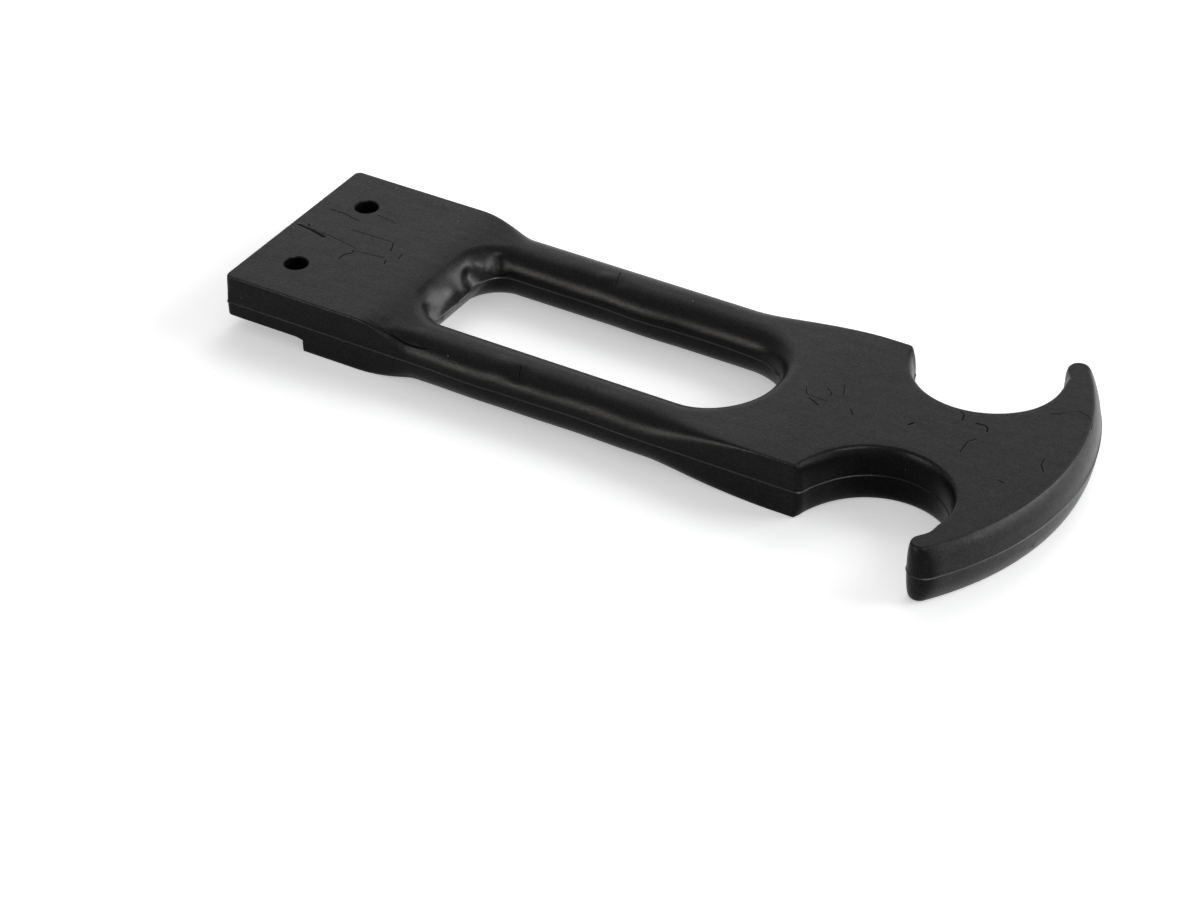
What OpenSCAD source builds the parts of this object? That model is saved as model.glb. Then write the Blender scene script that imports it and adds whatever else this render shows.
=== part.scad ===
// Pull handle of a draw latch for a top box lid, moulded in one piece of black rubber.
// +X runs from the mounting end to the finger grip and Z is up. The origin is midway between the
// fixing holes, on the raised seat that the mounting end rests on. The parting plane of the mould
// lies at half the thickness, and the handle is symmetric about the XZ plane.

/* [Body] */
// Thickness of the moulding
thickness = 11; // [9:0.5:14]
// Width across the mounting block, the bars and the shoulders, at the parting plane
body_w = 43.4; // [40:0.2:50]
// Distance from the mounting end to the neck side of the shoulders
shoulder_x = 120; // [114:1:130]
// How far the plain walls lean in from the parting plane to the top
wall_draft = 0.6; // [0.3:0.1:1]
// How boxy the edge of the plain walls is, where 2 is a full round
wall_squareness = 6; // [4:0.5:8]
// Corner radius of the mounting block, seen from above
block_corner_r = 2; // [1.4:0.1:4]
// Height of the fine ridge that the joint of the mould leaves on the walls
ridge_out = 0.14; // [0.05:0.01:0.3]
// Width of that ridge where it stands on the walls
ridge_w = 0.26; // [0.1:0.02:0.5]

/* [Mounting end] */
// Diameter of the two fixing holes
hole_d = 4.5; // [3:0.1:6.5]
// Spacing of the fixing holes
hole_spacing = 23; // [16:0.5:27]
// Distance of the fixing holes from the mounting end
hole_x = 9; // [6:0.5:11]
// Length of the raised seat under the mounting end
seat_len = 17; // [14.5:0.5:22]
// Height of the raised seat above the underside
seat_rise = 2.7; // [1:0.1:4]

/* [Stretch bars] */
// Width of each bar, at the parting plane
bar_w = 10.4; // [9:0.1:12]
// Width of the flat crest along the top of each bar
bar_crest = 0.8; // [0.6:0.1:2]
// How far the crests of the bars lie below the flat top
bar_drop = 1.1; // [0:0.1:2]
// How boxy the section of a bar is, where 2 is an ellipse
bar_squareness = 2.2; // [2:0.1:3]
// Where the side walls of the mounting block begin to round into the bars
bar_start = 29; // [28:0.5:38]
// Length over which the block rounds into the bars
bar_blend = 11.5; // [8:0.5:18]
// Length over which the bars square up into the head
head_blend = 26; // [16:1:30]
// Length of the plain side walls beside the shoulders
head_flat = 6; // [2:0.5:12]

/* [Slot] */
// Block end of the slot, at the parting plane
slot_start = 37; // [35:0.5:44]
// Distance from the head end of the slot to the shoulders, at the parting plane
head_len = 17.6; // [14:0.2:26]
// Corner radius at the block end of the slot
slot_start_r = 4.6; // [3:0.2:9]
// Corner radius at the head end of the slot
slot_end_r = 10.6; // [6:0.2:11]
// How far the scoop at the block end rolls back from the parting plane
scoop_roll = 4.4; // [2:0.2:6]
// How far the wall at the head end leans back from the parting plane
slot_end_roll = 3.6; // [1.5:0.1:4.5]
// How boxy the edge of the wall at the head end is
slot_end_squareness = 3; // [2:0.5:6]

/* [Finger notches] */
// Distance of the notch centres behind the shoulders
notch_dx = 13.6; // [12:0.2:16]
// How far the notch centres lie outside the side walls
notch_out = 1.1; // [0.4:0.1:2.4]
// Radius of the notches at the parting plane
notch_r = 13.8; // [12:0.2:15]
// How far the notch walls roll in from the parting plane
notch_roll = 1.4; // [0.8:0.1:2]
// Extra bulge of the notch wall at the parting plane, beside the shoulder
shoulder_bulge = 1.1; // [0:0.1:2]
// Radius of the shoulder corners at the parting plane
shoulder_r = 1.5; // [1:0.1:3]
// How boxy the edge of the notch walls is
notch_squareness = 2.6; // [2:0.2:5]

/* [Finger grip] */
// Radius of the outer face of the grip, at the parting plane
grip_r = 54.4; // [48:0.2:60]
// Distance from the shoulders to the outermost point of the grip
grip_reach = 40.1; // [38:0.1:46]
// How far the outer face rolls in from the parting plane
grip_roll = 1.9; // [1:0.1:3]
// Share of that roll which crowns the whole height of the face, the rest being its edge
grip_crown = 0.7; // [0:0.05:0.9]
// How boxy the edge of the outer face is
grip_squareness = 5; // [2:0.2:6]
// Width of the grip from tip to tip, at the parting plane
grip_w = 65.6; // [62:0.2:72]
// Radius of the blunt tips of the grip
tip_r = 2.9; // [2.6:0.1:3.6]
// How far the tips roll in from the parting plane
tip_roll = 1.4; // [0.5:0.1:1.6]

/* [Hidden] */
colour = [0.19, 0.19, 0.19];
$fn = 64;
eps = 1;                                // how far cutters reach past the faces they open
half_t = thickness/2;
half_w = body_w/2;
bar_roll = (bar_w - bar_crest)/2;       // roll of a bar on each side of its crest
slot_half = half_w - bar_w;
slot_flat = 0.5;                        // least half length of the flat at an end of the slot
slot_end = shoulder_x - head_len;
head_x = shoulder_x - head_flat;
bulge_in = 0.12;                        // share of a notch over which the bulge of its wall comes in
bulge_out = 0.42;                       // share of a notch over which the bulge dies out again
notch_true = 0.65;                      // share of a notch that is a true arc, before it runs into the tip
rings = 6;                              // steps of the wall profile above the parting plane
corner_n = 4;                           // steps of the outline round a block or shoulder corner
side_n = 34;                            // steps along a side, from the block corner to the shoulder
neck_n = 10;                            // steps round a notch, from the shoulder to the neck
grip_n = 14;                            // steps of the outer face on each side of the middle
tip_n = 4;                              // steps round half a tip
notch_n = neck_n + grip_n;              // steps round a whole notch
scoop_n = 8;                            // steps round a corner at the block end of the slot
slot_n = 6;                             // steps along a straight side of the slot
slot_end_n = 12;                        // steps round a corner at the head end of the slot
notch = [shoulder_x + notch_dx, half_w + notch_out];
tip_y = grip_w/2 - tip_r;
grip_x = shoulder_x + grip_reach;

// Plain helpers for curves
function mix(a, b, t) = a + (b - a)*t;
function ease(t) = let (u = max(0, min(1, t))) u*u*(3 - 2*u);
function polar(r, a) = r*[cos(a), sin(a)];
function bearing(v) = atan2(v[1], v[0]);
function tagged(points, e, crown = 0) = [for (p = points) [p[0], p[1], e, crown]];
function arc(c, r, a0, a1, n) = [for (i = [0:n]) c + polar(r, mix(a0, a1, i/n))];

// The other half of an outline, from its far end back to its start, without the points on the middle line
function mirrored(half) =
    [for (i = [len(half) - 1:-1:0]) let (p = half[i]) if (p[1] > 0) [p[0], -p[1], p[2], p[3]]];
function both(half) = concat(half, mirrored(half));

// How much of the full bar profile the side wall has at x: 0 on the block and the head, 1 on the bars
function barness(x) = ease((x - bar_start)/bar_blend)*ease((head_x - x)/head_blend);

// Half of the outer outline, from the mounting end round to the grip.
// k is 0 at the parting plane and 1 at the top. Each point is [x, y, squareness, crown], where the
// last two shape the wall there.
function outline(k) =
    let (
        x0 = k*wall_draft,
        y_side = half_w - k*wall_draft,
        corner_r = block_corner_r - k*wall_draft,
        sh_r = shoulder_r - k*wall_draft,
        n_r = notch_r + k*notch_roll,
        tip = tip_r - k*tip_roll,
        out_r = grip_r - k*grip_roll,
        out_c = [grip_x - grip_r, 0],
        sh_y = y_side - sh_r,
        sh_c = [notch[0] - sqrt(pow(n_r + sh_r, 2) - pow(notch[1] - sh_y, 2)), sh_y],
        tip_c = [out_c[0] + sqrt(pow(out_r - tip, 2) - tip_y*tip_y), tip_y],
        n_end = norm(tip_c - notch) - tip,
        a_sh = (bearing(sh_c - notch) + 360)%360,
        a_tip = bearing(tip_c - notch) + 360,
        a_out = bearing(tip_c - out_c)
    )
    concat(
        tagged(arc([x0 + corner_r, y_side - corner_r], corner_r, 180, 90, corner_n), wall_squareness),
        [for (i = [1:side_n - 1])
            let (x = mix(x0 + corner_r, sh_c[0], i/side_n), b = barness(x))
            [x, y_side - k*b*(bar_roll - wall_draft), mix(wall_squareness, bar_squareness, b), 0]],
        [for (i = [0:corner_n])
            let (p = sh_c + polar(sh_r, mix(90, a_sh - 180, i/corner_n)))
            [p[0], p[1], mix(wall_squareness, notch_squareness, i/corner_n), 0]],
        [for (i = [1:notch_n - 1])
            let (t = i/notch_n,
                 bulge = (1 - k)*shoulder_bulge*ease(t/bulge_in)*(1 - ease((t - bulge_in)/bulge_out)),
                 r = mix(n_r, n_end, ease((t - notch_true)/(1 - notch_true))) - bulge,
                 p = notch + polar(r, mix(a_sh, a_tip, t)))
            [p[0], p[1], notch_squareness, 0]],
        [for (i = [0:2*tip_n])
            let (t = i/(2*tip_n), p = tip_c + polar(tip, mix(a_tip - 180, a_out, t)))
            [p[0], p[1], mix(notch_squareness, grip_squareness, t), t*grip_crown]],
        [for (i = [1:grip_n])
            let (p = out_c + polar(out_r, mix(a_out, 0, i/grip_n)))
            [p[0], p[1], grip_squareness, grip_crown]]
    );

// Half of the slot outline, from its block end to its head end
function slot_outline(k) =
    let (
        roll_out = k*bar_roll,
        x0 = slot_start - k*scoop_roll,
        x1 = slot_end + k*slot_end_roll,
        y1 = slot_half + roll_out,
        r0 = min(slot_start_r, slot_half - slot_flat) + roll_out,
        r1 = min(slot_end_r, slot_half - slot_flat) + roll_out
    )
    concat(
        tagged(arc([x0 + r0, y1 - r0], r0, 180, 90, scoop_n), bar_squareness),
        tagged([for (i = [1:slot_n - 1]) [mix(x0 + r0, x1 - r1, i/slot_n), y1]], bar_squareness),
        [for (i = [0:slot_end_n])
            let (t = i/slot_end_n, p = [x1 - r1, y1 - r1] + polar(r1, 90 - 90*t))
            [p[0], p[1], mix(bar_squareness, slot_end_squareness, t), 0]]
    );

// Height of the body above (side 1) or below (side -1) the parting plane at x.
// The crests of the bars lie below the flat top of the block and the head.
function reach_z(x, side) = half_t - (side > 0 ? bar_drop*barness(x) : 0);

// One ring of wall points between the outline at the parting plane and the one at the top.
// The wall follows a superellipse, plus a crown: t runs from -1 at the underside to 1 at the top.
function ring(mid, top, t) =
    [for (i = [0:len(mid) - 1])
        let (a = 90*abs(t), p = 2/mid[i][2], rise = pow(sin(a), p), crown = mid[i][3],
             lean = crown*rise*rise + (1 - crown)*(1 - pow(max(0, cos(a)), p)),
             h = reach_z(top[i][0], t))
        [mix(mid[i][0], top[i][0], lean), mix(mid[i][1], top[i][1], lean), half_t + sign(t)*h*rise]];

// The three rings of the ridge at the parting plane, which stands out of the wall by out
function ridge(mid, out) =
    let (n = len(mid))
    [for (level = [-1, 0, 1])
        [for (i = [0:n - 1])
            let (d = mid[(i + 1)%n] - mid[(i + n - 1)%n], away = [-d[1], d[0]]/norm([d[0], d[1]]),
                 reach = level == 0 ? out : 0)
            [mid[i][0] + reach*away[0], mid[i][1] + reach*away[1], half_t + level*ridge_w/2]]];

// All the rings of a wall, from the underside to the top
function wall(mid, top, out) = concat(
    [for (j = [rings:-1:1]) ring(mid, top, -j/rings)],
    ridge(mid, out),
    [for (j = [1:rings]) ring(mid, top, j/rings)]
);

// Triangles between two stretches of one ring: p counts up along it and q counts down
function ladder(p, q, steps) =
    [for (k = [0:steps - 1])
        let (a = p + k, b = q - k)
        each (a + 1 == b - 1 ? [[a, a + 1, b]] : [[a, a + 1, b - 1], [a, b - 1, b]])];

// Closed solid through a stack of rings with the same number of points, with a cap at each end
module loft(stack, cap) {
    n = len(stack[0]);
    last = (len(stack) - 1)*n;
    walls = [for (j = [0:len(stack) - 2], i = [0:n - 1])
        let (a = j*n + i, b = j*n + (i + 1)%n) each [[a, b + n, a + n], [a, b, b + n]]];
    floor_cap = [for (t = cap) [t[0], t[2], t[1]]];
    roof_cap = [for (t = cap) [for (i = t) last + i]];
    polyhedron([for (row = stack, p = row) p], concat(floor_cap, walls, roof_cap), convexity = 8);
}

// Outer form with drafted walls on the block and the head and full rounds on the bars.
// Its caps run from side to side up to the neck, and then from each notch to the outer face.
module body_form() {
    mid = both(outline(0));
    top = both(outline(1));
    front = len(outline(0)) - 1;
    neck = corner_n + side_n + corner_n + neck_n;
    cap = concat(
        ladder(0, 2*front, neck),
        ladder(neck, front, grip_n + tip_n),
        ladder(front, 2*front - neck, grip_n + tip_n),
        [[neck, front, 2*front - neck]]
    );
    loft(wall(mid, top, ridge_out), cap);
}

// Slot between the bars, flared at the top and underside so that the bars come out round
module slot_form() {
    mid = both(slot_outline(0));
    top = both(slot_outline(1));
    foot = [for (p = top) [p[0], p[1], -eps]];
    head = [for (p = top) [p[0], p[1], thickness + eps]];
    cap = ladder(0, len(mid) - 1, len(mid)/2 - 1);
    loft(concat([foot], wall(mid, top, -ridge_out), [head]), cap);
}

// Plain through holes for the rivets
module fixing_holes() {
    for (side = [-1, 1])
        translate([hole_x, side*hole_spacing/2, -eps])
            cylinder(d = hole_d, h = thickness + 2*eps);
}

// Step under the mounting end, which lets the handle sit over the edge of its seat
module seat_step() {
    translate([-eps, -half_w - eps, -eps])
        cube([seat_len + eps, body_w + 2*eps, seat_rise + eps]);
}

// The forms above are drawn from the mounting end and the underside, and the handle from its seat
module handle() {
    color(colour)
    translate([-hole_x, 0, -seat_rise])
    difference() {
        body_form();
        slot_form();
        fixing_holes();
        seat_step();
    }
}

handle();
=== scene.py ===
"""Top box handle: the rubber pull handle of a draw latch, in a plain white studio."""

import math
import bpy
import bmesh
from mathutils import Matrix, Vector


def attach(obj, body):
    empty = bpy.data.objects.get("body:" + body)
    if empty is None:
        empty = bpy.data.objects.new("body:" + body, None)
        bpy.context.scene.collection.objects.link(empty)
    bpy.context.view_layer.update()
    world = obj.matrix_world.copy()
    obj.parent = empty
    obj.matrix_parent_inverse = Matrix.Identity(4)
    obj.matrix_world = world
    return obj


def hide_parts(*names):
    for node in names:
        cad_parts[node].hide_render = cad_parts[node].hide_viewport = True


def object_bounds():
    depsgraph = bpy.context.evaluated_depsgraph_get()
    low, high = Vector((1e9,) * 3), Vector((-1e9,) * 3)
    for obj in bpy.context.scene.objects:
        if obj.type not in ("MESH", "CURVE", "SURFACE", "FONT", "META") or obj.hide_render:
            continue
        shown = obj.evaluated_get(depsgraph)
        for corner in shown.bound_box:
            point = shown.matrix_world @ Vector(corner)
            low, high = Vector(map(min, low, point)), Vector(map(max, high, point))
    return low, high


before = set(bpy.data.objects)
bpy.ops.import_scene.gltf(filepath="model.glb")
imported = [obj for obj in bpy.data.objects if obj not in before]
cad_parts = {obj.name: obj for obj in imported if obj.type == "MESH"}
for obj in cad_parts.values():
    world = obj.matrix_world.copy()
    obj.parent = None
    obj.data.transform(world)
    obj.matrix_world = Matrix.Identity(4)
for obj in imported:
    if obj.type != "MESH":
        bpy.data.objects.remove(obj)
cad_box = [list(corner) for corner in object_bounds()]

# The handle itself. The real piece is one moulding of black rubber, pressed in a two-part mould
# that meets at half its thickness. It is fixed down at its block and pulled at its grip.
# Lengths here are in millimetres from the mounting end (x), the middle (y) and the underside (z).
MM = 0.001
THICKNESS = 11.0
HALF_T = THICKNESS/2
HALF_W = 43.4/2
SHOULDER_X = 120.0
WALL_DRAFT = 0.6
WALL_SQUARENESS = 6.0
BLOCK_CORNER_R = 1.3
HOLE_R = 4.5/2
HOLE_SPACING = 23.0
HOLE_X = 9.0
SEAT_LEN = 17.0
SEAT_RISE = 2.7
BAR_W = 10.4
BAR_CREST = 0.8
BAR_ROLL = (BAR_W - BAR_CREST)/2
BAR_DROP = 1.1
BAR_SQUARENESS = 2.2
BAR_START = 29.0
BAR_BLEND = 11.5
HEAD_X = SHOULDER_X - 6.0
HEAD_BLEND = 26.0
SLOT_HALF = HALF_W - BAR_W
SLOT_START = 37.0
SLOT_END = SHOULDER_X - 17.6
SLOT_START_R = 4.6
SLOT_END_R = 10.6
SCOOP_ROLL = 4.4
SCOOP_SQUARENESS = 1.4
SLOT_END_ROLL = 3.6
SLOT_END_SQUARENESS = 3.0
NOTCH = Vector((SHOULDER_X + 13.6, HALF_W + 1.1))
NOTCH_R = 13.8
NOTCH_ROLL = 1.4
NOTCH_SQUARENESS = 2.6
SHOULDER_R = 1.5
SHOULDER_BULGE = 0.4
GRIP_X = SHOULDER_X + 40.1
GRIP_R = 54.4
GRIP_ROLL = 1.9
GRIP_CROWN = 0.7
GRIP_SQUARENESS = 5.0
TIP_R = 2.9
TIP_Y = 65.52/2 - TIP_R
TIP_ROLL = 1.4
RIDGE_OUT = 0.14
RIDGE_HALF_W = 0.26/2

# Where the walls change their form, as shares of the shoulder's corner and of the notch
SHOULDER_TURN = 0.6
BULGE_RISE = 0.1
BULGE_FADE = 0.3
TIP_WIDENING = 0.65

# How finely each stretch of the outline, of the wall and of the flat faces is divided
END_STEPS = 10
ACROSS_STEPS = 6
CORNER_STEPS = 6
BLOCK_STEPS = 18
SCOOP_STEPS = 16
BAR_STEPS = 48
ROUND_STEPS = 18
HEAD_STEPS = 8
SHOULDER_STEPS = 6
NECK_STEPS = 26
TIP_SIDE_STEPS = 34
TIP_STEPS = 7
PIVOT_STEPS = 8
WALL_STEPS = 16
BREAK_Y = SLOT_HALF - SLOT_START_R
HEAD_BREAK_Y = SLOT_HALF - SLOT_END_R


def mix(a, b, t):
    return a + (b - a)*t


def ease(t):
    u = max(0.0, min(1.0, t))
    return u*u*(3 - 2*u)


def on_circle(centre, radius, degrees):
    return Vector((centre[0] + radius*math.cos(math.radians(degrees)),
                   centre[1] + radius*math.sin(math.radians(degrees))))


def bearing(v):
    return math.degrees(math.atan2(v[1], v[0]))


def steps(a, b, count):
    """Evenly spaced values from a to b, without b."""
    return [mix(a, b, i/count) for i in range(count)]


def barness(x):
    """0 on the block and the head, 1 where the sides are full stretch bars."""
    return ease((x - BAR_START)/BAR_BLEND)*ease((HEAD_X - x)/HEAD_BLEND)


def slot_outline(k):
    """Half of the slot, from its block end to its head end: (x, y, squareness) at level k."""
    roll = k*BAR_ROLL
    x0, x1, y1 = SLOT_START - k*SCOOP_ROLL, SLOT_END + k*SLOT_END_ROLL, SLOT_HALF + roll
    r0, r1 = SLOT_START_R + roll, SLOT_END_R + roll
    points = [(x0, y, SCOOP_SQUARENESS) for y in steps(0, y1 - r0, END_STEPS)]
    for i, a in enumerate(steps(180, 90, SCOOP_STEPS)):
        points.append((*on_circle((x0 + r0, y1 - r0), r0, a),
                       mix(SCOOP_SQUARENESS, BAR_SQUARENESS, i/SCOOP_STEPS)))
    points += [(x, y1, BAR_SQUARENESS) for x in steps(x0 + r0, x1 - r1, BAR_STEPS)]
    for i in range(ROUND_STEPS + 1):
        t = i/ROUND_STEPS
        points.append((*on_circle((x1 - r1, y1 - r1), r1, 90 - 90*t),
                       mix(BAR_SQUARENESS, SLOT_END_SQUARENESS, t)))
    return points + [(x1, 0.0, SLOT_END_SQUARENESS)]


def shoulder_centre(k):
    """Centre of the shoulder's corner, which touches the side and the notch."""
    radius, notch_r = SHOULDER_R - k*WALL_DRAFT, NOTCH_R + k*NOTCH_ROLL
    y = HALF_W - k*WALL_DRAFT - radius
    return Vector((NOTCH[0] - math.sqrt((notch_r + radius)**2 - (NOTCH[1] - y)**2), y))


def side_shares():
    """Places along the side, as shares of it, which line up with the points of the slot's top edge."""
    x0, x1 = BLOCK_CORNER_R, shoulder_centre(1)[0]
    slot = slot_outline(1)[END_STEPS:-1]
    xs = steps(x0, slot[0][0], BLOCK_STEPS) + [p[0] for p in slot]
    xs += steps(slot[-1][0], x1, HEAD_STEPS)[1:]
    return [(x - x0)/(x1 - x0) for x in xs]


def outline(k):
    """Half of the outer outline at level k, 0 at the parting line and 1 at the top face."""
    x0, side_y = k*WALL_DRAFT, HALF_W - k*WALL_DRAFT
    corner_r, shoulder_r = BLOCK_CORNER_R - k*WALL_DRAFT, SHOULDER_R - k*WALL_DRAFT
    notch_r, tip_r = NOTCH_R + k*NOTCH_ROLL, TIP_R - k*TIP_ROLL
    face_r = GRIP_R - k*GRIP_ROLL
    face_c = Vector((GRIP_X - GRIP_R, 0))
    shoulder_c = shoulder_centre(k)
    tip_c = Vector((face_c[0] + math.sqrt((face_r - tip_r)**2 - TIP_Y**2), TIP_Y))
    tip_gap = (tip_c - NOTCH).length - tip_r
    a_shoulder = (bearing(shoulder_c - NOTCH) + 360) % 360
    a_tip = bearing(tip_c - NOTCH) + 360
    a_face = bearing(tip_c - face_c)
    corner_c = Vector((x0 + corner_r, side_y - corner_r))

    points = [(x0, y, WALL_SQUARENESS) for y in steps(0, BREAK_Y, END_STEPS)]
    points += [(x0, y, WALL_SQUARENESS) for y in steps(BREAK_Y, corner_c[1], ACROSS_STEPS)]
    for a in steps(180, 90, CORNER_STEPS):
        points.append((*on_circle(corner_c, corner_r, a), WALL_SQUARENESS))
    for t in side_shares():
        x = mix(corner_c[0], shoulder_c[0], t)
        b = barness(x)
        points.append((x, side_y - k*b*(BAR_ROLL - WALL_DRAFT), mix(WALL_SQUARENESS, BAR_SQUARENESS, b)))
    for i in range(SHOULDER_STEPS):
        t = i/SHOULDER_STEPS
        p = on_circle(shoulder_c, shoulder_r, mix(90, a_shoulder - 180, t))
        points.append((*p, mix(WALL_SQUARENESS, NOTCH_SQUARENESS, ease(t/SHOULDER_TURN))))
    for a in steps(a_shoulder, 270, NECK_STEPS) + steps(270, a_tip, TIP_SIDE_STEPS):
        t = (a - a_shoulder)/(a_tip - a_shoulder)
        bulge = (1 - k)*SHOULDER_BULGE*ease(t/BULGE_RISE)*(1 - ease((t - BULGE_RISE)/BULGE_FADE))
        r = mix(notch_r, tip_gap, ease((t - TIP_WIDENING)/(1 - TIP_WIDENING))) - bulge
        points.append((*on_circle(NOTCH, r, a), NOTCH_SQUARENESS))
    for i in range(2*TIP_STEPS):
        t = i/(2*TIP_STEPS)
        points.append((*on_circle(tip_c, tip_r, mix(a_tip - 180, a_face, t)),
                       mix(NOTCH_SQUARENESS, GRIP_SQUARENESS, t), t*GRIP_CROWN))
    for i in range(TIP_SIDE_STEPS + 1):
        points.append((*on_circle(face_c, face_r, mix(a_face, 0, i/TIP_SIDE_STEPS)),
                       GRIP_SQUARENESS, GRIP_CROWN))
    return points


def wall_point(mid, top, side, outward, row):
    """A point of the wall between the parting line and the top (side 1) or the underside (side -1).
    The first rows are the fine ridge that the joint of the mould leaves. The rest follow a
    superellipse, and the face of the grip has a crown as well."""
    foot, climb = row
    if climb == 0:
        reach = (1 - foot)*outward
        return (mid[0] + reach[0], mid[1] + reach[1], HALF_T + side*RIDGE_HALF_W*foot)
    power = 2/mid[2]
    crown = mid[3] if len(mid) > 3 else 0
    rise = math.sin(math.radians(90*climb))**power
    lean = crown*rise**2 + (1 - crown)*(1 - max(0.0, math.cos(math.radians(90*climb)))**power)
    height = face_z(top[0], side) - HALF_T
    return (mix(mid[0], top[0], lean), mix(mid[1], top[1], lean), HALF_T + height*rise)


def face_z(x, side):
    """Height of the top face, which dips along the bars, or of the flat underside."""
    return THICKNESS - BAR_DROP*barness(x) if side > 0 else 0.0


WALL_ROWS = [(0, 0), (0.5, 0), (1, 0)] + [(1, i/WALL_STEPS) for i in range(1, WALL_STEPS + 1)]


def outward_at(points, i, sign):
    """Level direction away from the rubber at one point of an outline, as long as the ridge is high."""
    if i in (0, len(points) - 1):
        return Vector((-1 if i == 0 else 1, 0))*sign*RIDGE_OUT
    d = (Vector(points[i + 1][:2]) - Vector(points[i - 1][:2])).normalized()
    return Vector((-d[1], d[0]))*sign*RIDGE_OUT


def wall_columns(shape, side, sign):
    """The wall along one outline: a column of points under each point of it."""
    mid, top = shape(0), shape(1)
    return [[wall_point(mid[i], top[i], side, outward_at(mid, i, sign), row) for row in WALL_ROWS]
            for i in range(len(mid))]


def face_rungs(side):
    """Three panels of one flat face, each a list of rungs that run from the outer edge inwards:
    the block, the strip beside the slot, and the head with the grip."""
    outer, slot = [Vector(p[:2]) for p in outline(1)], [Vector(p[:2]) for p in slot_outline(1)]
    first = END_STEPS + ACROSS_STEPS
    scoop = first + CORNER_STEPS + BLOCK_STEPS
    slot_rungs = SCOOP_STEPS + BAR_STEPS + ROUND_STEPS
    neck = scoop + slot_rungs + HEAD_STEPS + SHOULDER_STEPS + NECK_STEPS
    block, strip, head = [], [], []
    for start in outer[first:scoop + 1]:
        ys = steps(start[1], BREAK_Y, ACROSS_STEPS) + steps(BREAK_Y, 0, END_STEPS) + [0]
        block.append([Vector((start[0], y)) for y in ys])
    for i in range(slot_rungs + 1):
        start, end = outer[scoop + i], slot[END_STEPS + i]
        strip.append([start.lerp(end, j/ACROSS_STEPS) for j in range(ACROSS_STEPS + 1)])
    for start in outer[scoop + slot_rungs:neck + 1]:
        ys = steps(start[1], HEAD_BREAK_Y, ACROSS_STEPS) + [HEAD_BREAK_Y, 0]
        head.append([Vector((start[0], y)) for y in ys])
    shares = [1 - p[1]/outer[neck][1] for p in head[-1]]
    front = len(outer) - 1
    ends = [Vector((x, 0)) for x in steps(outer[neck][0], outer[front][0], PIVOT_STEPS)[1:]]
    head += [[outer[neck].lerp(end, t) for t in shares] for end in ends]
    for i in range(TIP_SIDE_STEPS + TIP_STEPS + 1):
        head.append([outer[neck + i].lerp(outer[front - i], t) for t in shares])
    return [[[(p[0], p[1], face_z(p[0], side)) for p in rung] for rung in panel]
            for panel in (block, strip, head)]


def place(x, y, z):
    """A point of the drawing, in the frame that all pieces share."""
    return (Vector((x, y, z)) - Vector((HOLE_X, 0, SEAT_RISE)))*MM


def add_panel(columns):
    """A grid whose points are set onto one panel of the moulding."""
    bpy.ops.mesh.primitive_grid_add(x_subdivisions=len(columns[0]) - 1, y_subdivisions=len(columns) - 1)
    panel = bpy.context.object
    for vertex, point in zip(panel.data.vertices, [p for column in columns for p in column]):
        vertex.co = place(*point)
    return panel


WELD = 0.0005*MM
bpy.ops.object.select_all(action="DESELECT")
panels = []
for side in (1, -1):
    panels.append(add_panel(wall_columns(outline, side, 1)))
    panels.append(add_panel(wall_columns(slot_outline, side, -1)))
    panels += [add_panel(rungs) for rungs in face_rungs(side)]
for panel in panels:
    panel.select_set(True)
bpy.ops.object.join()
handle = bpy.context.object
handle.name = "rubber_handle"
bpy.ops.object.mode_set(mode="EDIT")
bpy.ops.mesh.select_all(action="SELECT")
bpy.ops.mesh.remove_doubles(threshold=WELD)
bpy.ops.mesh.dissolve_degenerate(threshold=WELD)
bpy.ops.object.mode_set(mode="OBJECT")
mirror = handle.modifiers.new("other side", "MIRROR")
mirror.use_axis = (False, True, False)
mirror.use_clip = True
mirror.merge_threshold = WELD
bpy.ops.object.modifier_apply(modifier=mirror.name)
bpy.ops.object.mode_set(mode="EDIT")
bpy.ops.mesh.select_all(action="SELECT")
bpy.ops.mesh.normals_make_consistent(inside=False)
bpy.ops.object.mode_set(mode="OBJECT")

# The fixing holes and the step under the mounting end. The holes are plain pins in the mould, with
# a hair of a lead at each mouth, and the step lets the block sit over the rim of the lid.
RIM = 0.18
HOLE_SIDES = 64
FACES_UP = 0.9
STEP_ROUND = 0.2
STEP_ANGLE = math.radians(50)
FLAT = 0.001


def cut_with(cutter):
    """Cuts another object's shape out of the handle and deletes that object."""
    cut = handle.modifiers.new("cut", "BOOLEAN")
    cut.operation, cut.solver, cut.object = "DIFFERENCE", "EXACT", cutter
    bpy.ops.object.select_all(action="DESELECT")
    bpy.context.view_layer.objects.active = handle
    handle.select_set(True)
    bpy.ops.object.modifier_apply(modifier=cut.name)
    bpy.data.objects.remove(cutter)


bpy.ops.object.select_all(action="DESELECT")
bpy.ops.mesh.primitive_cube_add(size=1, location=place(SEAT_LEN - HALF_W, 0, SEAT_RISE - HALF_T))
seat_block = bpy.context.object
seat_block.scale = (2*HALF_W*MM, 3*HALF_W*MM, THICKNESS*MM)
bpy.ops.object.transform_apply(location=False, rotation=False, scale=True)
cut_with(seat_block)

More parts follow.
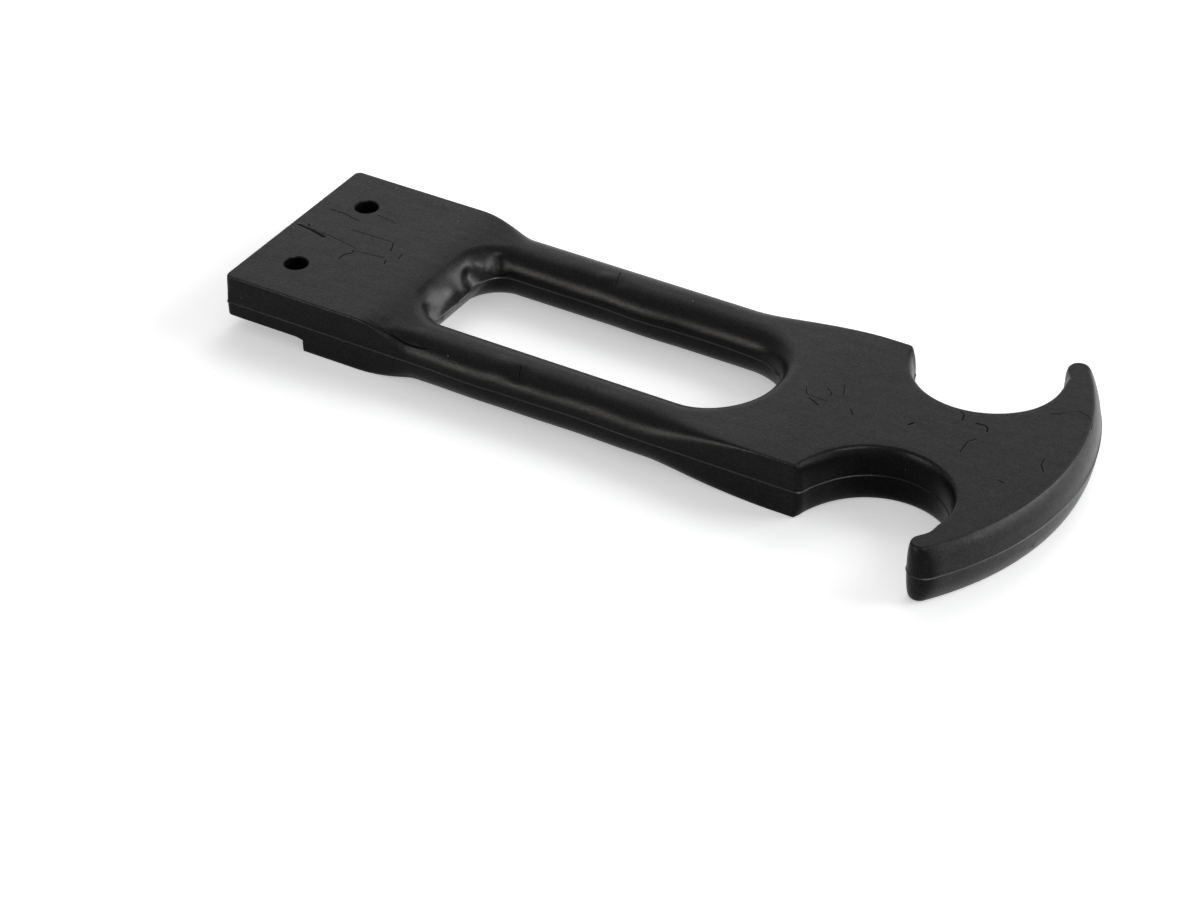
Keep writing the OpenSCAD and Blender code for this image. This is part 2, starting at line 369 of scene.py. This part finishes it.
for y in (-HOLE_SPACING/2, HOLE_SPACING/2):
    bpy.ops.object.select_all(action="DESELECT")
    bpy.ops.mesh.primitive_cylinder_add(
        vertices=HOLE_SIDES, radius=HOLE_R*MM, depth=(THICKNESS - SEAT_RISE - 2*RIM)*MM,
        end_fill_type="NGON", location=place(HOLE_X, y, (THICKNESS + SEAT_RISE)/2))
    pin = bpy.context.object
    bpy.ops.object.mode_set(mode="EDIT")
    bpy.ops.mesh.select_mode(type="FACE")
    for end in (1, -1):
        bpy.ops.mesh.select_all(action="DESELECT")
        mesh = bmesh.from_edit_mesh(pin.data)
        for face in mesh.faces:
            face.select_set(face.normal.z*end > FACES_UP)
        bmesh.update_edit_mesh(pin.data)
        bpy.ops.mesh.extrude_region_move(TRANSFORM_OT_translate={"value": (0, 0, end*RIM*MM)})
        wide = 1 + RIM/HOLE_R
        middle = place(HOLE_X, y, SEAT_RISE if end < 0 else THICKNESS)
        bpy.ops.transform.resize(value=(wide, wide, 1), center_override=middle)
        bpy.ops.mesh.extrude_region_move(TRANSFORM_OT_translate={"value": (0, 0, end*MM)})
    bpy.ops.object.mode_set(mode="OBJECT")
    cut_with(pin)

bpy.ops.object.mode_set(mode="EDIT")
bpy.ops.mesh.select_mode(type="EDGE")
bpy.ops.mesh.select_all(action="DESELECT")
mesh = bmesh.from_edit_mesh(handle.data)
for edge in mesh.edges:
    a, b = (v.co/MM for v in edge.verts)
    rim = min(a[0], b[0]) > -HOLE_X + WALL_DRAFT and max(abs(a[1]), abs(b[1])) < HALF_W - WALL_DRAFT
    level = max(abs(a[2]), abs(b[2])) < FLAT
    edge.select_set(level and not rim and edge.calc_face_angle(0) > STEP_ANGLE)
bmesh.update_edit_mesh(handle.data)
bpy.ops.mesh.bevel(offset=STEP_ROUND*MM, segments=4, profile=0.5)
bpy.ops.mesh.select_all(action="SELECT")
bpy.ops.mesh.remove_doubles(threshold=WELD)
bpy.ops.object.mode_set(mode="OBJECT")

# Soft rubber is never quite true. The scoop is lumpy where the plug of the mould has pulled off, the
# bars sway a little from being stretched, and nubs of flash are left along the parting line.
# Each pull is a place on the surface (x, y, z), how far it moves (x, y, z), and its reach around.
PULLS = [
    ((36.8, 9.6, 8.0), (0.5, -0.3, 0.1), 3.4), ((35.6, -2.0, 8.2), (0.5, 0, 0.1), 3.6),
    ((36.9, 5.2, 7.8), (-1.1, 0.15, -0.2), 3.2),
    ((36.4, -9.0, 7.2), (-0.8, -0.3, -0.6), 3.2), ((37.9, 11.0, 7.6), (-0.45, 0.5, -0.1), 2.8),
    ((37.6, -1.4, 5.2), (0.3, 0, 0), 0.9), ((37.4, -5.6, 4.4), (0.25, 0, 0), 0.9),
    ((144.8, 25, 5.5), (-0.35, -0.2, 0), 4.5), ((144.8, -25, 5.5), (-0.35, 0.2, 0), 4.5),
    ((146.4, 26.5, 11), (0.4, 0.1, 0), 2.8), ((146.4, -26.5, 11), (0.4, -0.1, 0), 2.8),
    ((69, 11.3, 5.5), (0, -0.4, 0), 10), ((82, 14, 9.5), (0, 0.2, -0.15), 9),
    ((95, 11.5, 6), (0, -0.3, 0), 9), ((55, 12.5, 8.5), (0, 0.2, -0.1), 6),
    ((52, -21.7, 5.5), (0, -0.25, 0), 10), ((74, -21.7, 5.5), (0, 0.3, 0), 11),
    ((58, -19.5, 9.2), (0, 0, 0.2), 3.4), ((63, -19.8, 9.2), (0, 0, -0.28), 2.6),
    ((70, -19.8, 9.1), (0, 0, -0.15), 5), ((82, -20.2, 9), (0, 0, 0.15), 6),
    ((59, 14.5, 9.9), (0, 0, 0.16), 2.6), ((62.4, 14.5, 9.9), (0, 0, -0.22), 2.2),
    ((0.6, -21.5, 5.5), (0, -0.3, 0), 0.8), ((101.4, 5.2, 5.5), (-0.45, 0, 0), 0.9),
    ((98.9, 8.6, 5.5), (-0.3, -0.2, 0), 0.7), ((159.2, -11.2, 2.2), (0.2, -0.1, -0.1), 0.6),
    ((33.5, -20.6, 10.9), (0, 0, -0.3), 3.4), ((40.5, -20.0, 10.3), (0, 0, 0.22), 3.2),
]
SOFT_EDGE = math.radians(30)
bpy.ops.object.mode_set(mode="EDIT")
bpy.ops.mesh.select_mode(type="VERT")
for spot, shift, reach in PULLS:
    bpy.ops.mesh.select_all(action="DESELECT")
    mesh = bmesh.from_edit_mesh(handle.data)
    goal = place(*spot)
    nearest = min(mesh.verts, key=lambda vertex: (vertex.co - goal).length_squared)
    nearest.select_set(True)
    bmesh.update_edit_mesh(handle.data)
    bpy.ops.transform.translate(
        value=Vector(shift)*MM, use_proportional_edit=True, proportional_edit_falloff="SMOOTH",
        proportional_size=reach*MM, use_proportional_connected=True)
bpy.ops.object.mode_set(mode="OBJECT")
bpy.ops.object.shade_smooth_by_angle(angle=SOFT_EDGE)

# The rubber. It is black all through, with the fine dull grain of the blasted mould on every face,
# cloudy patches of bloom and handling, and a little more shine where the face of the grip is rubbed.
BARE_BLACK = (0.0008, 0.0008, 0.0008, 1)
BLOOMED_BLACK = (0.0086, 0.0085, 0.0083, 1)
FLECK_SHARE = 0.6
SATIN = (0.27, 0.34)
PLAIN_SHINE = 0.08
RUBBED_SHINE = 0.25
MOST_SHINE = 0.32


def add_node(owner, kind, **values):
    """A node of a material or the world, with its properties and unlinked sockets set by name."""
    node = owner.node_tree.nodes.new(kind)
    for name, value in values.items():
        if name in node.inputs:
            node.inputs[name].default_value = value
        else:
            setattr(node, name, value)
    return node


def feed(owner, value, socket):
    """Gives a socket a fixed value, or joins it to another node's output."""
    if isinstance(value, bpy.types.NodeSocket):
        owner.node_tree.links.new(value, socket)
    else:
        socket.default_value = value


def reckon(owner, operation, *values):
    """One step of arithmetic with numbers."""
    node = add_node(owner, "ShaderNodeMath", operation=operation)
    for value, socket in zip(values, node.inputs):
        feed(owner, value, socket)
    return node.outputs["Value"]


def reckon_place(operation, *values):
    """One step of arithmetic with places on the rubber, which gives a place or a length."""
    node = add_node(rubber, "ShaderNodeVectorMath", operation=operation)
    for value, socket in zip(values, node.inputs):
        feed(rubber, value, socket)
    gives_length = operation in ("LENGTH", "DISTANCE", "DOT_PRODUCT")
    return node.outputs["Value" if gives_length else "Vector"]


def spread(owner, value, span, result):
    """Turns the span of a value into the result's two ends, and holds it there beyond the span."""
    node = add_node(owner, "ShaderNodeMapRange")
    ends = {"Value": value, "From Min": span[0], "From Max": span[1],
            "To Min": result[0], "To Max": result[1]}
    for name, end in ends.items():
        feed(owner, end, node.inputs[name])
    return node.outputs["Result"]


def clouded(at, **values):
    """Cloudy noise over the rubber, from coarse patches to a fine grain by its scale."""
    node = add_node(rubber, "ShaderNodeTexNoise", **values)
    feed(rubber, at, node.inputs["Vector"])
    return node.outputs["Fac"]


def raised(height, under, strength, distance):
    """A relief too fine for the mesh, on top of a coarser one where there is one under it."""
    node = add_node(rubber, "ShaderNodeBump", Strength=strength, Distance=distance)
    feed(rubber, height, node.inputs["Height"])
    if under:
        feed(rubber, under, node.inputs["Normal"])
    return node.outputs["Normal"]


def mixed(share, a, b, **values):
    """Two colours or numbers, mixed by a share of the second."""
    node = add_node(rubber, "ShaderNodeMix", **values)
    for name, value in (("Factor", share), ("A", a), ("B", b)):
        feed(rubber, value, node.inputs[name])
    return node.outputs["Result"]


rubber = bpy.data.materials.new("black_rubber")
rubber.use_nodes = True
shader = rubber.node_tree.nodes["Principled BSDF"]
where = add_node(rubber, "ShaderNodeTexCoord").outputs["Object"]

clouds = clouded(where, Scale=90, Detail=5, Roughness=0.6)
mottle = clouded(where, Scale=2600, Detail=3, Roughness=0.8)
flecks = spread(rubber, mottle, (0.38, 0.62), (0, 1))
bloom = mixed(FLECK_SHARE, clouds, flecks)
tone = mixed(bloom, BARE_BLACK, BLOOMED_BLACK, data_type="RGBA")
feed(rubber, spread(rubber, clouds, (0.3, 0.7), SATIN), shader.inputs["Roughness"])

# The curved outer face of the grip is rubbed to a satin shine, which fades at its tips. It is picked
# out by how far a place lies from the axis of that face.
to_grip_axis = ((HOLE_X + GRIP_R - GRIP_X)*MM, 0, 0)
grip_inner, grip_outer = (GRIP_R - GRIP_ROLL - 0.1)*MM, (GRIP_R - 0.5*GRIP_ROLL)*MM
tip_start, tip_end = (TIP_Y - 0.2)*MM, (TIP_Y + 1.6)*MM
from_axis = reckon_place("MULTIPLY_ADD", where, (1, 1, 0), to_grip_axis)
in_front = reckon_place("MAXIMUM", from_axis, (0, -1, 0))
face_reach = reckon_place("LENGTH", in_front)
folded = reckon_place("ABSOLUTE", where)
across = add_node(rubber, "ShaderNodeSeparateXYZ")
feed(rubber, folded, across.inputs[0])
tip_fade = spread(rubber, across.outputs["Y"], (tip_start, tip_end), (RUBBED_SHINE, PLAIN_SHINE))
face_shine = spread(rubber, face_reach, (grip_inner, grip_outer), (PLAIN_SHINE, tip_fade))

# Streaks of flow run lengthwise through the sheen, and the grain breaks it up
STREAK_THINNESS = 0.1
STREAK_SHEEN = (0.86, 1.14)
GRAIN_SHEEN = (0.85, 1.15)
lengthwise = reckon_place("MULTIPLY", where, (STREAK_THINNESS, 1, 1))
streaks = clouded(lengthwise, Scale=800, Detail=4, Roughness=0.7)
streak_sheen = spread(rubber, streaks, (0.25, 0.75), STREAK_SHEEN)
grain_sheen = spread(rubber, flecks, (0, 1), GRAIN_SHEEN)

# The scoop and the fine ridge of the parting line come off polished steel and shine more. The walls
# of the two notches get less shine: painted shade, darkening them as the shade in the notches would.
# Each gain, and the painted shade, ends at a distance from the middle of its own form.
SCOOP_GAIN = 3.6
SCOOP_MIDDLE = place(36.2, 0, 7.5)
SCOOP_NARROWNESS = 0.35
SCOOP_SPAN = (2.8*MM, 4.8*MM)
RIDGE_GAIN = 3
RIDGE_SPAN = (0.12*MM, 0.2*MM)
NOTCH_PAINTED_SHADE = 0.4
NOTCH_BREADTH = 1.12
NOTCH_SPAN = ((NOTCH_R + 0.3)*MM, (NOTCH_R + 0.8)*MM)
from_scoop = reckon_place("MULTIPLY_ADD", where, (1, SCOOP_NARROWNESS, 1), -SCOOP_MIDDLE)
scoop_reach = reckon_place("LENGTH", from_scoop)
scoop_shine = spread(rubber, scoop_reach, SCOOP_SPAN, (SCOOP_GAIN, 1))
height = add_node(rubber, "ShaderNodeSeparateXYZ")
feed(rubber, where, height.inputs[0])
from_ridge = reckon(rubber, "SUBTRACT", height.outputs["Z"], place(0, 0, HALF_T)[2])
ridge_reach = reckon(rubber, "ABSOLUTE", from_ridge)
ridge_shine = spread(rubber, ridge_reach, RIDGE_SPAN, (RIDGE_GAIN, 1))
# Painted shade: the walls of the two notches shine less, so they look darker, as if shaded
notch_middle = ((NOTCH[0] - HOLE_X)*MM, NOTCH[1]*MM, 0)
from_notch = reckon_place("SUBTRACT", folded, notch_middle)
across_notch = reckon_place("MULTIPLY", from_notch, (NOTCH_BREADTH, 1, 0))
notch_reach = reckon_place("LENGTH", across_notch)
painted_notch_shade = spread(rubber, notch_reach, NOTCH_SPAN, (NOTCH_PAINTED_SHADE, 1))
shine = face_shine
for sheen in (streak_sheen, grain_sheen, scoop_shine, ridge_shine, painted_notch_shade):
    shine = reckon(rubber, "MULTIPLY", shine, sheen)
shine = reckon(rubber, "MINIMUM", shine, MOST_SHINE)

# Fine marks on the upper side: flow lines, cuts and rubbed dashes. Each is a width and then a line
# of places (x, y) on the drawing above.
MARK_LINES = [
    (0.9, (1.8, -0.3), (5, -0.7)), (1.3, (5, -0.7), (8.2, -1.5)), (0.5, (3.1, 0.8), (3.7, 0.3)),
    (0.3, (3.6, 7.4), (7, 7.3), (10.6, 6.5)), (0.25, (12.5, 10.1), (17.3, 9.3)),
    (0.25, (11.3, 3.3), (20.7, 3.5)), (0.25, (6.9, -0.2), (15.9, -1.8)),
    (0.4, (14.8, -6.2), (15, -4.5), (16, -3.4), (15.5, -2.6)), (0.25, (15.5, -2.6), (21.8, -1.8)),
    (0.4, (20.6, 3.1), (21.7, 0.6)), (0.5, (22.7, -2.6), (23.1, -3.5)), (0.3, (24.4, -0.8), (24.1, 0.7)),
    (0.3, (61, 17.4), (61.5, 15.3), (62.2, 13.2)), (0.35, (61.6, -17.9), (62.6, -20.2)),
    (0.3, (31.2, -20.6), (36, -20.9), (42, -20.6), (45.3, -20)),
    (0.4, (110.9, -2.3), (113.3, -3.6)), (0.22, (109, 0.2), (109.9, -1.4), (111.1, -1.6), (114.3, -1.8)),
    (0.25, (112.1, 2), (113.6, 0.9), (113.8, -0)), (0.2, (114.3, 4.3), (115.6, 1.5)),
    (0.3, (118.7, -1.7), (119.8, -3.1)), (0.7, (129.6, -1), (130, -0.2)),
    (0.4, (135.5, 7.2), (136.4, 6.6), (136.9, 4.9)),
    (0.5, (139.4, 5.3), (140.9, 5.5), (141.7, 5), (142.1, 4)),
    (0.35, (141.4, 0.9), (140.6, -0.3), (140.7, -2.2), (140.8, -3.6)),
    (0.4, (149.2, 14.5), (150.6, 15.3)),
    (0.22, (150.5, 15.5), (152.9, 17.7), (155.2, 17), (156.5, 15.5), (156.8, 14.1)),
    (0.3, (154.1, 1.7), (154.3, -0.1), (155.5, -1.8)), (0.35, (150.3, -8), (151.2, -8.2)),
]
flat_place = reckon_place("MULTIPLY", where, (1, 1, 0))
mark_reach = None
for width, *line in MARK_LINES:
    for start, end in zip(line, line[1:]):
        mark_start = place(*start, SEAT_RISE)
        along = place(*end, SEAT_RISE) - mark_start
        from_start = reckon_place("SUBTRACT", flat_place, mark_start)
        share = reckon_place("DOT_PRODUCT", from_start, along/along.length_squared)
        held = add_node(rubber, "ShaderNodeClamp")
        feed(rubber, share, held.inputs["Value"])
        foot = add_node(rubber, "ShaderNodeVectorMath", operation="SCALE")
        feed(rubber, along, foot.inputs[0])
        feed(rubber, held.outputs["Result"], foot.inputs["Scale"])
        away = reckon_place("DISTANCE", from_start, foot.outputs["Vector"])
        in_widths = reckon(rubber, "DIVIDE", away, width/2*MM)
        mark_reach = reckon(rubber, "MINIMUM", mark_reach, in_widths) if mark_reach else in_widths
unmarked = spread(rubber, mark_reach, (0, 1), (0, 1))
marked = mixed(unmarked, (0, 0, 0, 1), tone, data_type="RGBA")
dulled = reckon(rubber, "MULTIPLY", shine, unmarked)
feed(rubber, dulled, shader.inputs["Specular IOR Level"])

# The relief under all of it: the grain of the mould, a soft swell, and the marks on top
grain = clouded(where, Scale=3000, Detail=4, Roughness=0.7)
swell = clouded(where, Scale=260, Detail=3, Roughness=0.5)
grain_relief = raised(grain, None, strength=0.6, distance=0.07*MM)
swell_relief = raised(swell, grain_relief, strength=0.3, distance=0.2*MM)
mark_relief = raised(unmarked, swell_relief, strength=0.8, distance=0.15*MM)
feed(rubber, mark_relief, shader.inputs["Normal"])

# White specks of dust and mould powder, here and there on every face
SPECK_WHITE = (0.32, 0.32, 0.31, 1)
SPECKS_LEFT_OUT = 0.45
SPECK_SPAN = (0.012, 0.03)
specks = add_node(rubber, "ShaderNodeTexVoronoi", Scale=230)
feed(rubber, where, specks.inputs["Vector"])
speck_form = spread(rubber, specks.outputs["Distance"], SPECK_SPAN, (1, 0))
speck_kept = reckon(rubber, "GREATER_THAN", specks.outputs["Color"], SPECKS_LEFT_OUT)
speck_shown = reckon(rubber, "MULTIPLY", speck_form, speck_kept)
dusted = mixed(speck_shown, marked, SPECK_WHITE, data_type="RGBA")
feed(rubber, dusted, shader.inputs["Base Color"])

handle.data.materials.clear()
handle.data.materials.append(rubber)
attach(handle, "root")
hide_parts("handle")

# The table. The handle lies flat on a seamless sheet of white paper, which keeps its soft shadow.
# A little glow of its own, seen but lighting nothing, brings the paper up to the white of the room.
TABLE_SIZE = 6
PAPER_WHITE = 0.9
PAPER_GLOW = 0.41


def seen_itself(owner):
    """1 where the camera looks at the surface, or sees it in a reflection or through glass. 0 where
    the surface only sends light to something else."""
    rays = add_node(owner, "ShaderNodeLightPath")
    seen = reckon(owner, "ADD", rays.outputs["Is Camera Ray"], rays.outputs["Is Glossy Ray"])
    return reckon(owner, "ADD", seen, rays.outputs["Is Transmission Ray"])


bpy.ops.object.select_all(action="DESELECT")
bpy.ops.mesh.primitive_plane_add(size=TABLE_SIZE, location=(0, 0, cad_box[0][2]))
table = bpy.context.object
table.name = "white_table"
bpy.ops.object.transform_apply(location=True, rotation=False, scale=False)
paper = bpy.data.materials.new("white_paper")
paper.use_nodes = True
paper_shader = paper.node_tree.nodes["Principled BSDF"]
paper_shader.inputs["Base Color"].default_value = (PAPER_WHITE, PAPER_WHITE, PAPER_WHITE, 1)
paper_shader.inputs["Roughness"].default_value = 0.9
paper_shader.inputs["Specular IOR Level"].default_value = 0.0
glow = add_node(paper, "ShaderNodeEmission", Color=(1, 1, 1, 1))
feed(paper, reckon(paper, "MULTIPLY", seen_itself(paper), PAPER_GLOW), glow.inputs["Strength"])
both = add_node(paper, "ShaderNodeAddShader")
feed(paper, paper_shader.outputs["BSDF"], both.inputs[0])
feed(paper, glow.outputs["Emission"], both.inputs[1])
feed(paper, both.outputs["Shader"], paper.node_tree.nodes["Material Output"].inputs["Surface"])
table.data.materials.append(paper)

# The light. A wide soft panel stands behind the handle and a stronger, cooler one at its right. Three
# cards show only as sheen on the rubber, and one high panel lights the floor and casts no sheen.
AIMED_AT = (0.07, -0.01, 0)
ROOM_LIGHT = 0.38


def add_panel_light(name, stands_at, size, power, colour):
    lamp = bpy.data.lights.new(name, "AREA")
    lamp.shape, lamp.size, lamp.energy, lamp.color = "SQUARE", size, power, colour
    lit = bpy.data.objects.new(name, lamp)
    bpy.context.scene.collection.objects.link(lit)
    lit.location = stands_at
    lit.rotation_euler = (Vector(AIMED_AT) - Vector(stands_at)).to_track_quat("-Z", "Y").to_euler()
    return lit


add_panel_light("panel_behind", (-0.45, 1.05, 0.8), 1.3, 4.4, (1, 1, 1))
add_panel_light("panel_right", (1.0, 0.66, 0.5), 0.8, 12, (0.98, 0.99, 1))
sheen_left = add_panel_light("panel_left", (-0.55, -0.95, 0.36), 0.42, 10, (1, 0.97, 0.94))
sheen_above = add_panel_light("panel_above", (0.66, -0.32, 0.92), 0.35, 8, (1, 1, 1))
sheen_low = add_panel_light("panel_low", (1.2, 0.16, 0.28), 0.22, 1.7, (1, 1, 1))
for card in (sheen_left, sheen_above, sheen_low):
    card.visible_diffuse = False
floor_light = add_panel_light("panel_high", (-0.2, 1.3, 1.1), 0.9, 6, (1, 1, 1))
floor_light.visible_glossy = False

world = bpy.data.worlds.new("white_room")
bpy.context.scene.world = world
world.use_nodes = True
room = world.node_tree.nodes["Background"]
room.inputs["Color"].default_value = (1, 1, 1, 1)
feed(world, spread(world, seen_itself(world), (0, 1), (ROOM_LIGHT, 1)), room.inputs["Strength"])

# The camera, where the photograph was taken from: a long lens that looks down on the handle from
# the near side of its grip. Its heading, drop and roll are in degrees, its distance in millimetres.
LENS_PX = 3856.27
FRAME_W = 1200
SENSOR_W = 36
LOOK = math.radians(121.52)
DOWN = math.radians(34.78)
ROLL = math.radians(0.48)
AIM = place(79.68, -20.93, 0)
DISTANCE = 675.18*MM
forward = Vector((math.cos(DOWN)*math.cos(LOOK), math.cos(DOWN)*math.sin(LOOK), -math.sin(DOWN)))
level = Vector((math.sin(LOOK), -math.cos(LOOK), 0))
downward = forward.cross(level)
camera_x = math.cos(ROLL)*level + math.sin(ROLL)*downward
camera_y = math.sin(ROLL)*level - math.cos(ROLL)*downward
camera = bpy.data.objects.new("camera", bpy.data.cameras.new("camera"))
bpy.context.scene.collection.objects.link(camera)
camera.data.sensor_width = SENSOR_W
camera.data.lens = SENSOR_W*LENS_PX/FRAME_W
camera.matrix_world = Matrix.Translation(AIM - forward*DISTANCE) @ Matrix(
    (camera_x, camera_y, -forward)).transposed().to_4x4()
bpy.context.scene.camera = camera
bpy.context.scene.view_settings.view_transform = "Standard"
